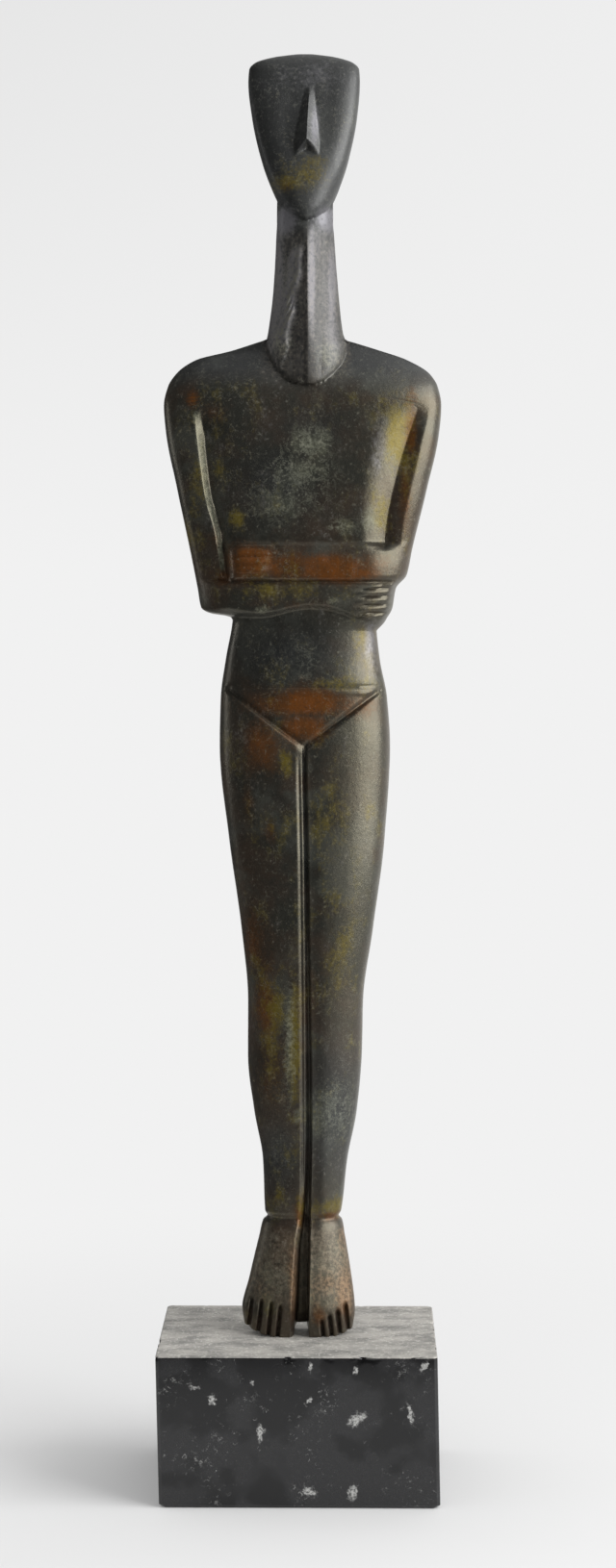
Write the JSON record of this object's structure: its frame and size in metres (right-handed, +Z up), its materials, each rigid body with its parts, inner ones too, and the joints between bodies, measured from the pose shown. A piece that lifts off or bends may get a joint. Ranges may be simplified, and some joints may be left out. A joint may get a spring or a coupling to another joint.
{
  "type": "folded-arm figurine",
  "caption": "Standing folded-arm figurine with a shield-shaped face and a long neck, cast in patinated bronze, on a rectangular block of black marble.",
  "frame": {"origin": "centre of the plinth's underside", "axes": "+Z up along the figure, -Y the way the figure faces, +X to the right of someone who faces it"},
  "size_m": [0.1014, 0.08, 0.5166],
  "materials": {
    "bronze": "satin, dark green-black and brown patina with rust-brown and ochre patches",
    "marble": "polished black with grey clouds and white flecks, its top dull and dusty"
  },
  "bodies": {
    "root": {"figure": "bronze", "plinth": "marble"}
  },
  "joints": []
}
